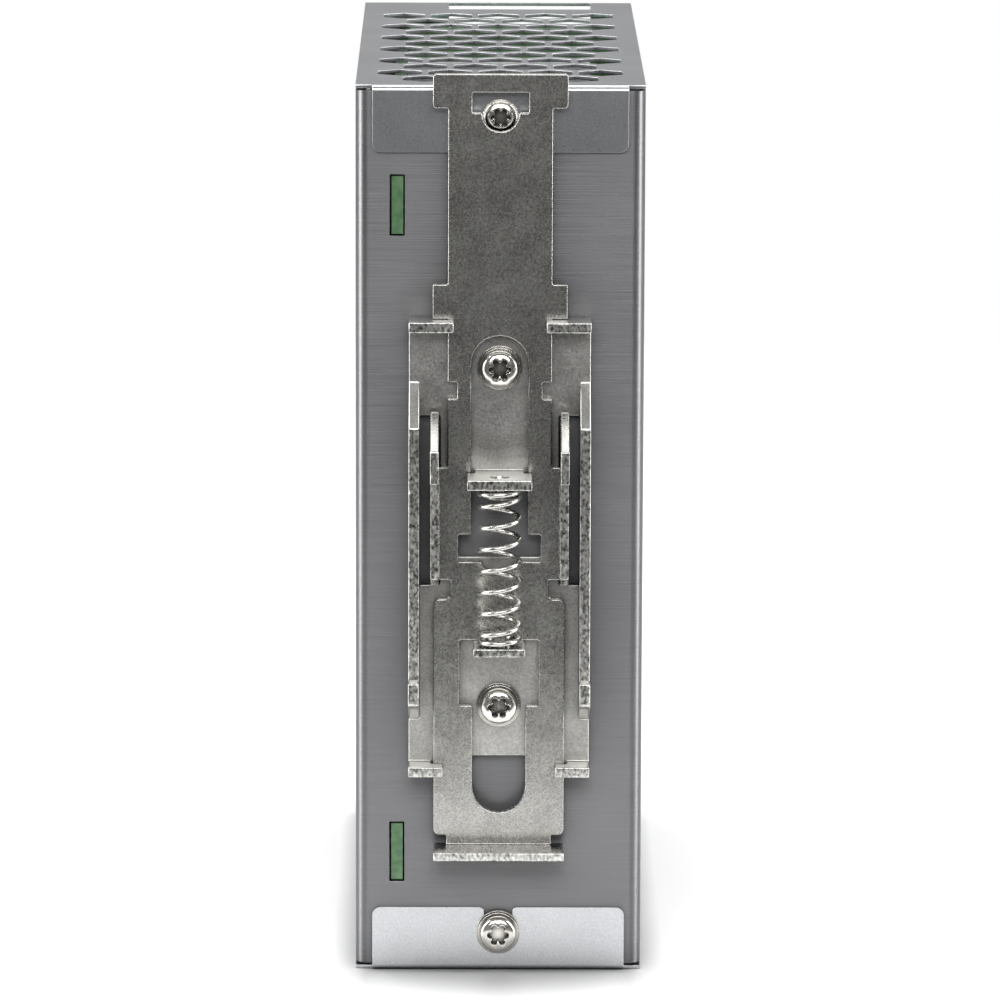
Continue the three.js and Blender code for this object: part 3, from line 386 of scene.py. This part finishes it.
# ------------------------------------------------------------------ front frame
# Front, top and bottom panels, one 0.5 mm satin sheet with rows of six-sided vents above and below.
# Its ends are bent over the rear panel as two flanges, each held by one screw.
FRAME_SHEET, FRAME_BEND = 0.5, 0.8
BOTTOM_FLANGE, TOP_FLANGE, FLANGE_CORNER = 9, 9.3, 1.2
OPEN_SLOT_RADIUS, SLOT_CORNER = 2, 0.6
WIRE_SLOT_START, WIRE_SLOT_END = 0.8, 9.3
PART_GAP = 0.3
VENT_FLATS, VENT_PITCH, VENT_ROWS, ROW_PITCH, VENT_MARGIN = 6.1, 7, 12, 6.83, 7
FIRST_SCORE = 3.6
satin_sheet = metal(
    "satin_sheet", (0.42, 0.43, 0.445), (0.6, 0.61, 0.625), 0.3, 0.03, (4000, 4000, 4000), 0.01, cloud=90)
low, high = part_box("front_frame")
front, back, top = low.y, high.y, high.z
flange_low, flange_high = BOTTOM_FLANGE * MM, top - TOP_FLANGE * MM
flange_half = 17.65 * MM
folded = box_piece("front_frame_sheet", low, high)
choose(folded, "FACE", lambda c, n: abs(n.x) > 0.5)
bpy.ops.mesh.delete(type="FACE")
for cut_z in (flange_low, flange_high):
    choose(folded, "FACE", lambda c, n: n.y > 0.5)
    bpy.ops.mesh.bisect(plane_co=(0, 0, cut_z), plane_no=(0, 0, 1))
choose(folded, "FACE", lambda c, n: n.y > 0.5 and flange_low < c.z < flange_high)
bpy.ops.mesh.delete(type="FACE")
choose(folded, "EDGE", lambda c, d: abs(d.x) > 0.03 and min(abs(c.z), abs(c.z - top)) < 0.01 * MM)
bpy.ops.mesh.bevel(offset=FRAME_BEND * MM, segments=6, affect="EDGES")
bpy.ops.object.mode_set(mode="OBJECT")
apply_modifier(folded, "SOLIDIFY", thickness=FRAME_SHEET * MM, offset=-1)

# the flanges are narrower than the case
cutters = []
for side in (-1, 1):
    for z0, z1 in ((-1 * MM, 10 * MM), (top - 10.3 * MM, top + 1 * MM)):
        x0, x1 = sorted((side * flange_half, side * 21 * MM))
        cutters.append(box_piece("trim", (x0, rear - 0.3 * MM, z0), (x1, back + 1 * MM, z1)))
cut_out(folded, cutters)
choose(folded, "EDGE", lambda c, d: abs(d.y) > 0.3 * MM and abs(abs(c.x) - flange_half) < 0.01 * MM
       and min(abs(c.z - flange_low), abs(c.z - flange_high)) < 0.01 * MM)
bpy.ops.mesh.bevel(offset=FLANGE_CORNER * MM, segments=6, affect="EDGES")
bpy.ops.object.mode_set(mode="OBJECT")

# screw hole above, open slot below, wire slots and screwdriver windows at the terminals
cutters = [
    rod_piece(
        "hole", SCREW_HOLE * MM, (0, rear - 0.3 * MM, TOP_SCREW * MM),
        (0, back + 1 * MM, TOP_SCREW * MM), 32),
    rod_piece(
        "slot_end", OPEN_SLOT_RADIUS * MM, (0, rear - 0.3 * MM, BOTTOM_SCREW * MM),
        (0, back + 1 * MM, BOTTOM_SCREW * MM), 32),
    box_piece(
        "slot", (-OPEN_SLOT_RADIUS * MM, rear - 0.3 * MM, BOTTOM_SCREW * MM),
        (OPEN_SLOT_RADIUS * MM, back + 1 * MM, 10 * MM)),
]
cut_out(folded, cutters)
choose(folded, "EDGE", lambda c, d: abs(d.y) > 0.3 * MM and abs(abs(c.x) - OPEN_SLOT_RADIUS * MM) < 0.01 * MM
       and abs(c.z - flange_low) < 0.01 * MM)
bpy.ops.mesh.bevel(offset=SLOT_CORNER * MM, segments=4, affect="EDGES")
bpy.ops.object.mode_set(mode="OBJECT")
cutters = []
output_low, output_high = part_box("output_terminal")
input_low, input_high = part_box("input_terminal")
for a, b, z0, z1, wall in (
        (output_low, output_high, output_low.z - PART_GAP * MM, top - FRAME_SHEET * MM, top),
        (input_low, input_high, FRAME_SHEET * MM, input_high.z + PART_GAP * MM, 0)):
    cutters.append(box_piece(
        "wire_slot", (a.x - PART_GAP * MM, front + WIRE_SLOT_START * MM, wall - 1 * MM),
        (b.x + PART_GAP * MM, front + WIRE_SLOT_END * MM, wall + 1 * MM)))
    cutters.append(box_piece(
        "window", (a.x - PART_GAP * MM, front - 1 * MM, z0), (b.x + PART_GAP * MM, front + 1.2 * MM, z1)))
indicator_x = sum(corner.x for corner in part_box("trimmer_body")) / 2
led_z = sum(corner.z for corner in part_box("status_led")) / 2
trimmer_z = sum(corner.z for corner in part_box("trimmer_body")) / 2
for z, radius in ((led_z, 1.7 * MM), (trimmer_z, 2.4 * MM)):
    cutters.append(rod_piece(
        "hole", radius, (indicator_x, front - 1 * MM, z), (indicator_x, front + 2 * MM, z)))
cut_out(folded, cutters)

# staggered vents, one cutter through both panels for each; the panels are scored first along the rows
for column in range(-4, 5):
    choose(folded, "FACE", lambda c, n: abs(n.z) > 0.9 and (c.z < 1 * MM or c.z > top - 1 * MM))
    bpy.ops.mesh.bisect(plane_co=(column * VENT_PITCH / 2 * MM, 0, 0), plane_no=(1, 0, 0))
for row in range(VENT_ROWS + 1):
    choose(folded, "FACE", lambda c, n: abs(n.z) > 0.9 and (c.z < 1 * MM or c.z > top - 1 * MM))
    bpy.ops.mesh.bisect(plane_co=(0, rear - (FIRST_SCORE + row * ROW_PITCH) * MM, 0), plane_no=(0, 1, 0))
bpy.ops.object.mode_set(mode="OBJECT")
cutters = []
for row in range(VENT_ROWS):
    y = rear - VENT_MARGIN * MM - row * ROW_PITCH * MM
    count = 4 if row % 2 == 0 else 5
    for k in range(count):
        x = (k - (count - 1) / 2) * VENT_PITCH * MM
        cutters.append(rod_piece(
            "vent", VENT_FLATS / math.sqrt(3) * MM, (x, y, -1 * MM), (x, y, top + 1 * MM), 6))
cut_out(folded, cutters)
soften(folded, 0.06 * MM)
fit(folded, "case", "satin_sheet", satin_sheet, "front_frame")

# ------------------------------------------------------------------ clip bracket
# Fixed half of the rail clip, 1.5 mm nickel-plated steel screwed to the rear panel. Its bent ears carry the
# rail's lower lip, four bent tabs hold the slider down, and a fifth tab takes the upper end of the spring.
BRACKET_SHEET = 1.5
SIDE_SCORE = 9.6
PIP_RADIUS, DIMPLE_RADIUS = 1.9, 1.3
# painted shade in its colour darkens the bracket under its tabs and between its ears
nickel = metal(
    "nickel_plate", (0.38, 0.374, 0.356), (0.76, 0.75, 0.72), 0.34, 0.04, (4200, 4200, 4200), 0.01, cloud=280,
    share=0.4, painted_shade_power=0.4)


def merged_copy(node, name, *scores):
    """A copy of a CAD node's mesh as clean faces, scored down at these x so that no face rings a hole."""
    obj = bpy.data.objects.new(name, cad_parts[node].data.copy())
    bpy.context.scene.collection.objects.link(obj)
    solo(obj)
    bpy.ops.object.mode_set(mode="EDIT")
    bpy.ops.mesh.select_all(action="SELECT")
    bpy.ops.mesh.remove_doubles(threshold=0.002 * MM)
    for x in scores:
        bpy.ops.mesh.select_all(action="SELECT")
        bpy.ops.mesh.bisect(plane_co=(x, 0, 0), plane_no=(1, 0, 0))
    choose(obj, "EDGE", lambda c, d: abs(d.x) < 1e-6 and min(abs(c.x - x) for x in scores) < 1e-6)
    bpy.ops.mesh.mark_seam(clear=False)
    bpy.ops.mesh.select_all(action="SELECT")
    bpy.ops.mesh.dissolve_limited(angle_limit=math.radians(0.5), delimit={"SEAM"})
    bpy.ops.object.mode_set(mode="OBJECT")
    return obj


def add_pip(plate, start, end):
    """A round pip pressed up out of the sheet, inside the end of the spring."""
    pip = rod_piece("pip", PIP_RADIUS * MM, start, end, 28)
    solo(plate)
    pip.select_set(True)
    bpy.ops.object.join()


def show_sheared_ends(plate, material, nearest):
    """The ends of tabs and ears, as the shear left them, face to the rear beyond this distance."""
    plate.data.materials.append(material)
    for face in plate.data.polygons:
        if face.normal.y > 0.9 and face.center.y > nearest:
            face.material_index = 1


sheared_steel = metal(
    "sheared_steel", (0.06, 0.06, 0.055), (0.95, 0.94, 0.9), 0.3, 0.08, (2600, 2600, 1700), 0.7,
    cloud=900, share=0.3)
web_face = rear + BRACKET_SHEET * MM
spring_low, spring_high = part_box("clip_spring")
spring_y = (spring_low.y + spring_high.y) / 2
bracket = merged_copy("clip_base", "clip_bracket", 0, -SIDE_SCORE * MM, SIDE_SCORE * MM)
cut_out(bracket, [rod_piece(
    "dimple", DIMPLE_RADIUS * MM, (0, spring_y, spring_high.z + 0.9 * MM),
    (0, spring_y, spring_high.z + 3 * MM), 28)])
add_pip(bracket, (0, spring_y, spring_high.z - 1.5 * MM), (0, spring_y, spring_high.z + 0.2 * MM))
soften(bracket, 0.2 * MM)
fit(bracket, "case", "nickel_plate", nickel, "clip_base")
show_sheared_ends(bracket, sheared_steel, web_face + 1.5 * MM)

# ------------------------------------------------------------------ clip slider
# Moving half of the clip, 1.2 mm nickel-plated steel. Its two ears end in the upper rail hooks, the slotted
# head above the case is for a screwdriver, and a bent tab carries the lower end of the spring.
# painted shade: a darker copy of the nickel plate for the slider, which its ears and hooks shade, with
# painted shade in its gaps too
shaded_nickel = metal(
    "shaded_nickel", (0.27, 0.265, 0.252), (0.6, 0.59, 0.562), 0.27, 0.03, (4200, 4200, 4200), 0.01, cloud=280,
    share=0.32, painted_shade_power=0.25)
slider = merged_copy("clip_slider", "clip_slider_plate", 0)
add_pip(slider, (0, spring_y, spring_low.z - 0.3 * MM), (0, spring_y, spring_low.z + 1.5 * MM))
soften(slider, 0.18 * MM)
fit(slider, "clip_slider", "nickel_plate", shaded_nickel, "clip_slider")
show_sheared_ends(slider, sheared_steel, web_face + 2.5 * MM)

# ------------------------------------------------------------------ clip spring
# Right-handed compression spring of bright steel wire with closed ends, held between two tabs.
WIRE, WIRE_SIDES = 0.75, 14
TURNS, STEPS = 8.5, 40
spring_wire = metal(
    "spring_wire", (0.48, 0.472, 0.44), (0.64, 0.63, 0.6), 0.26, 0.06, (3000, 3000, 3000), 0.1, cloud=400)
low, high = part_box("clip_spring")
wire = WIRE * MM
middle = Vector(((low.x + high.x) / 2, (low.y + high.y) / 2, 0))
radius = (high.x - low.x - wire) / 2
bpy.ops.object.select_all(action="DESELECT")
bpy.ops.mesh.primitive_circle_add(
    vertices=WIRE_SIDES, radius=wire / 2, location=(radius, 0, 0), rotation=(math.radians(90), 0, 0))
spring = bpy.context.object
spring.name = "clip_spring_coil"
bpy.ops.object.transform_apply(location=True, rotation=True, scale=True)
pitch = (high.z - low.z - wire) / TURNS
apply_modifier(
    spring, "SCREW", axis="Z", angle=math.radians(180), screw_offset=pitch / 2, iterations=int(2 * TURNS),
    steps=STEPS // 2, render_steps=STEPS // 2, use_merge_vertices=False)
rings = len(spring.data.vertices) // WIRE_SIDES


def coil_rise(share):
    """Height along the spring, from 0 to 1: the first and last turn lie close."""
    end, turn = 1.15 * wire / (high.z - low.z), 1 / TURNS
    if share < turn:
        return end * share / turn
    if share > 1 - turn:
        return 1 - end * (1 - share) / turn
    return end + (share - turn) / (1 - 2 * turn) * (1 - 2 * end)


for vertex in spring.data.vertices:
    share = (vertex.index // WIRE_SIDES) / (rings - 1)
    rise = (coil_rise(share) - share) * (high.z - low.z - wire)
    vertex.co += middle + Vector((0, 0, low.z + wire / 2 + rise))
solo(spring)
bpy.ops.object.mode_set(mode="EDIT")
bpy.ops.mesh.select_all(action="SELECT")
bpy.ops.mesh.fill_holes(sides=0)
bpy.ops.mesh.normals_make_consistent(inside=False)
bpy.ops.object.mode_set(mode="OBJECT")
bpy.ops.object.shade_smooth_by_angle(angle=math.radians(40))
fit(spring, "case", "spring_wire", spring_wire, "clip_spring")
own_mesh(spring)

# ------------------------------------------------------------------ screws on the rear
# M3 machine screws, bright nickel, with a six-lobed recess: three pan heads with washers, and above them
# one low raised head, which the clip's slider passes over.
# painted shade in its colour darkens the screws' six-lobed recesses
bright_screw = metal(
    "bright_screw", (0.55, 0.53, 0.49), (0.76, 0.74, 0.69), 0.2, 0.05, (2500, 2500, 2500), 0.1, cloud=300,
    painted_shade_power=2.2, reach=1.1)


def turned_piece(name, profile, seat, steps=48):
    """A profile of (radius, height) points spun about the Y axis through the seat."""
    turned = box_piece(name, (0, 0, 0), (1 * MM, 1 * MM, 1 * MM))
    solo(turned)
    bpy.ops.object.mode_set(mode="EDIT")
    bpy.ops.mesh.select_mode(type="VERT")
    bpy.ops.mesh.select_all(action="SELECT")
    bpy.ops.mesh.merge(type="CENTER")
    first = Vector((profile[0][0], profile[0][1], 0))
    bpy.ops.transform.translate(value=first - Vector((0.5, 0.5, 0.5)) * MM)
    for (r0, h0), (r1, h1) in zip(profile, profile[1:]):
        bpy.ops.mesh.extrude_vertices_move(TRANSFORM_OT_translate={"value": (r1 - r0, h1 - h0, 0)})
    bpy.ops.mesh.select_all(action="SELECT")
    bpy.ops.mesh.spin(steps=steps, angle=math.radians(360), center=(0, 0, 0), axis=(0, 1, 0))
    bpy.ops.mesh.select_all(action="SELECT")
    bpy.ops.mesh.remove_doubles(threshold=0.001 * MM)
    bpy.ops.mesh.normals_make_consistent(inside=False)
    bpy.ops.transform.translate(value=seat)
    bpy.ops.object.mode_set(mode="OBJECT")
    return turned


def six_lobe_cutters(seat, floor_height, top_height, size=1.0):
    """The recess: a rod, and six thinner ones around it."""
    tools = []
    for k in range(7):
        turn = math.radians(60 * k + 30)
        out = (0 if k == 6 else 1.12 * size) * MM
        at = seat + Vector((out * math.sin(turn), 0, out * math.cos(turn)))
        up = Vector((0, 1, 0))
        tools.append(rod_piece("recess", (1.05 if k == 6 else 0.42) * size * MM, at + floor_height * up,
                               at + top_height * up, 20))
    return tools


def pan_screw(name, seat, length, node):
    """Thread, flat washer, lock washer and domed head in one turned piece."""
    profile = [
        (0, -length), (1.5, -length), (1.5, 0), (3.1, 0), (3.1, 0.35), (2.5, 0.35), (2.5, 0.42),
        (2.85, 0.42), (2.85, 0.72), (2.3, 0.72), (2.3, 0.84), (2.5, 0.9), (2.5, 1.6), (2.42, 1.85),
        (2.25, 2.04), (1.9, 2.22), (1.3, 2.36), (0, 2.4)]
    screw = turned_piece(name, [(r * MM, h * MM) for r, h in profile], seat)
    cut_out(screw, six_lobe_cutters(seat, 1.1 * MM, 3.5 * MM))
    soften(screw, 0.06 * MM)
    fit(screw, "case", "bright_screw", bright_screw, node)


pan_screw("screw_lower", Vector((0, web_face, LOWER_CLIP_SCREW * MM)), 6, "clip_screw_lower")
pan_screw("screw_upper", Vector((0, web_face, UPPER_CLIP_SCREW * MM)), 6, "clip_screw_upper")
pan_screw("screw_bottom", Vector((0, rear + FRAME_SHEET * MM, BOTTOM_SCREW * MM)), 4, "frame_screw_bottom")
seat = Vector((0, rear + FRAME_SHEET * MM, TOP_SCREW * MM))
profile = [
    (0, -4), (1.5, -4), (1.5, 0), (2.5, 0), (2.5, 0.2), (2.3, 0.3), (2.25, 0.45), (1.95, 0.68), (1.5, 0.82),
    (1, 0.88), (0, 0.9)]
raised = turned_piece("screw_top", [(r * MM, h * MM) for r, h in profile], seat)
cut_out(raised, six_lobe_cutters(seat, 0.2 * MM, 2 * MM, 0.9))
soften(raised, 0.05 * MM)
fit(raised, "case", "bright_screw", bright_screw, "frame_screw_top")

# ------------------------------------------------------------------ circuit boards
# Main board and front board of fibreglass with a green solder mask. The main board stands on two brass
# spacers beside one side wall, held by screws through that wall, and a cream sheet insulates its back.


def plain(name, dark, light, roughness, scale, bump=0.1, metallic=0.0):
    """Moulded, painted or coated surface with a fine mottled grain."""
    material = bpy.data.materials.new(name)
    material.use_nodes = True
    nodes, links = material.node_tree.nodes, material.node_tree.links
    shader = nodes["Principled BSDF"]
    shader.inputs["Metallic"].default_value = metallic
    place = nodes.new("ShaderNodeTexCoord")
    noise = nodes.new("ShaderNodeTexNoise")
    noise.inputs["Scale"].default_value = scale
    noise.inputs["Detail"].default_value = 3
    colour = nodes.new("ShaderNodeValToRGB")
    colour.color_ramp.elements[0].position = 0.35
    colour.color_ramp.elements[0].color = (*dark, 1)
    colour.color_ramp.elements[1].position = 0.65
    colour.color_ramp.elements[1].color = (*light, 1)
    rough = nodes.new("ShaderNodeMapRange")
    rough.inputs["To Min"].default_value = roughness - 0.06
    rough.inputs["To Max"].default_value = roughness + 0.06
    relief = nodes.new("ShaderNodeBump")
    relief.inputs["Strength"].default_value = bump
    relief.inputs["Distance"].default_value = 0.0001
    links.new(place.outputs["Object"], noise.inputs["Vector"])
    links.new(noise.outputs["Fac"], colour.inputs["Fac"])
    links.new(colour.outputs["Color"], shader.inputs["Base Color"])
    links.new(noise.outputs["Fac"], rough.inputs["Value"])
    links.new(rough.outputs["Result"], shader.inputs["Roughness"])
    links.new(noise.outputs["Fac"], relief.inputs["Height"])
    links.new(relief.outputs["Normal"], shader.inputs["Normal"])
    return material


def finish_nodes(material, *names):
    """Gives its finish to each part whose shape is already right."""
    for name in names:
        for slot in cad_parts[name].material_slots:
            slot.material = material


cream_film = plain("cream_film", (0.68, 0.62, 0.48), (0.8, 0.75, 0.62), 0.5, 700)
brass = metal("brass", (0.6, 0.45, 0.2), (0.75, 0.6, 0.32), 0.3, 0.05, (1500, 1500, 1500), 0.1)
solder_mask = plain("solder_mask", (0.055, 0.125, 0.06), (0.1, 0.19, 0.095), 0.4, 900)
finish_nodes(solder_mask, "main_board", "front_board")
finish_nodes(brass, "board_spacer_lower", "board_spacer_upper")
finish_nodes(bright_screw, "board_screw_lower", "board_screw_upper", "clip_nut_lower", "clip_nut_upper")
finish_nodes(cream_film, "insulation_sheet")

# ------------------------------------------------------------------ terminals
# Two moulded green terminal blocks behind the front panel, four poles for the output and three for the mains.
# Each pole has a bright slotted screw and a brass clamp that it draws forward.
green_plastic = plain("green_plastic", (0.03, 0.2, 0.06), (0.05, 0.26, 0.09), 0.42, 2500)
finish_nodes(green_plastic, "output_terminal", "input_terminal")
for block, poles in (("output", 4), ("input", 3)):
    for pole in range(1, poles + 1):
        finish_nodes(bright_screw, f"{block}_screw_{pole}")
        finish_nodes(brass, f"{block}_clamp_{pole}")

# ------------------------------------------------------------------ indicator and voltage trimmer
# Clear light pipe over the status lamp, and a blue trimmer whose cream rotor turns behind a hole in the
# front panel, where a small screwdriver reaches it.
blue_coating = plain("blue_coating", (0.02, 0.08, 0.35), (0.03, 0.12, 0.45), 0.4, 800)
clear_plastic = plain("clear_plastic", (0.75, 0.85, 0.78), (0.85, 0.92, 0.87), 0.12, 500)
finish_nodes(clear_plastic, "light_pipe", "status_led")
finish_nodes(blue_coating, "trimmer_body")
finish_nodes(cream_film, "trimmer_rotor")

# ------------------------------------------------------------------ mains side
# Parts of the mains input on the main board: fuse, capacitor in yellow film, choke on a black moulding,
# lacquered varistor, thermistor, bridge rectifier and the big sleeved capacitor.
black_plastic = plain("black_plastic", (0.012, 0.012, 0.013), (0.03, 0.03, 0.032), 0.45, 2000)
yellow_film = plain("yellow_film", (0.62, 0.43, 0.05), (0.74, 0.53, 0.08), 0.35, 600)
ferrite = plain("ferrite", (0.03, 0.03, 0.033), (0.06, 0.06, 0.064), 0.55, 1500)
sleeve = plain("sleeve", (0.012, 0.02, 0.035), (0.02, 0.032, 0.05), 0.3, 900)
finish_nodes(cream_film, "input_fuse")
finish_nodes(yellow_film, "x_capacitor")
finish_nodes(ferrite, "line_choke_core")
finish_nodes(black_plastic, "line_choke_base", "inrush_thermistor", "bridge_rectifier")
finish_nodes(blue_coating, "varistor")
finish_nodes(sleeve, "bulk_capacitor")

# ------------------------------------------------------------------ transformer and switching parts
# Ferrite core with a taped winding, and two extruded aluminium heat sinks with the power transistor and the
# output rectifier clamped to them.
aluminium = metal("aluminium", (0.68, 0.69, 0.7), (0.8, 0.81, 0.82), 0.35, 0.06, (200, 200, 4000), 0.15)
finish_nodes(ferrite, "transformer_core")
finish_nodes(yellow_film, "transformer_winding")
finish_nodes(aluminium, "primary_heat_sink", "secondary_heat_sink")
finish_nodes(black_plastic, "power_transistor", "output_rectifier", "optocoupler", "control_chip")

# ------------------------------------------------------------------ output side
# Copper-wound inductor and two sleeved capacitors that smooth the output.
copper = plain("copper", (0.5, 0.2, 0.09), (0.68, 0.3, 0.14), 0.3, 1200, metallic=0.9)
finish_nodes(copper, "output_inductor")
finish_nodes(sleeve, "output_capacitor_1", "output_capacitor_2")

# ------------------------------------------------------------------ sizes, and the end
# The unit's box as the finished pieces make it, in metres.
bpy.ops.object.select_all(action="DESELECT")
low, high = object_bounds()
